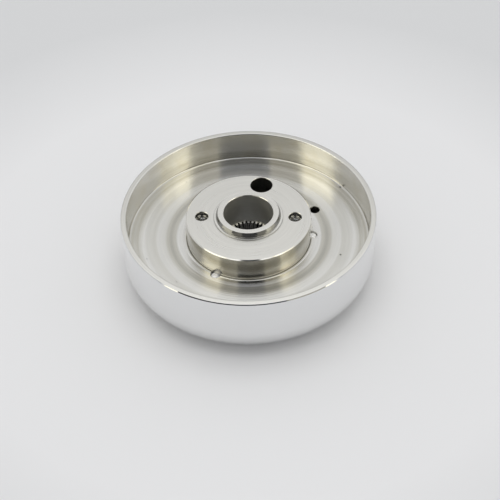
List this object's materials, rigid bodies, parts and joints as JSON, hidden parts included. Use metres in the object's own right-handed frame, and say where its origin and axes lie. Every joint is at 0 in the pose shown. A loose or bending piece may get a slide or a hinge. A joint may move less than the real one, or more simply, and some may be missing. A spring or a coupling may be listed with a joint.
{
  "type": "steering wheel hub adapter",
  "caption": "Round polished aluminium dish with a pinned centre hub and splined sleeve that carries a steering wheel on its column.",
  "frame": {"origin": "centre of the flat wheel face, on the steering column's axis", "axes": "+Z along the column's axis, from the wheel towards the column; +X through the two puller holes"},
  "size_m": [0.1016, 0.1016, 0.03],
  "materials": {
    "polished_shell": "mirror polished outside, bright turned inside the dish",
    "turned_hub": "fine turned satin",
    "sleeve_steel": "fine turned, darker inside the bore",
    "pin_steel": "bright ground",
    "insert_steel": "bright drawn wire"
  },
  "bodies": {
    "root": {"outer_shell": "polished_shell", "centre_hub": "turned_hub", "splined_sleeve": "sleeve_steel", "locking_pin_1": "pin_steel", "locking_pin_2": "pin_steel", "locking_pin_3": "pin_steel", "thread_insert_left": "insert_steel", "thread_insert_right": "insert_steel"}
  },
  "joints": []
}
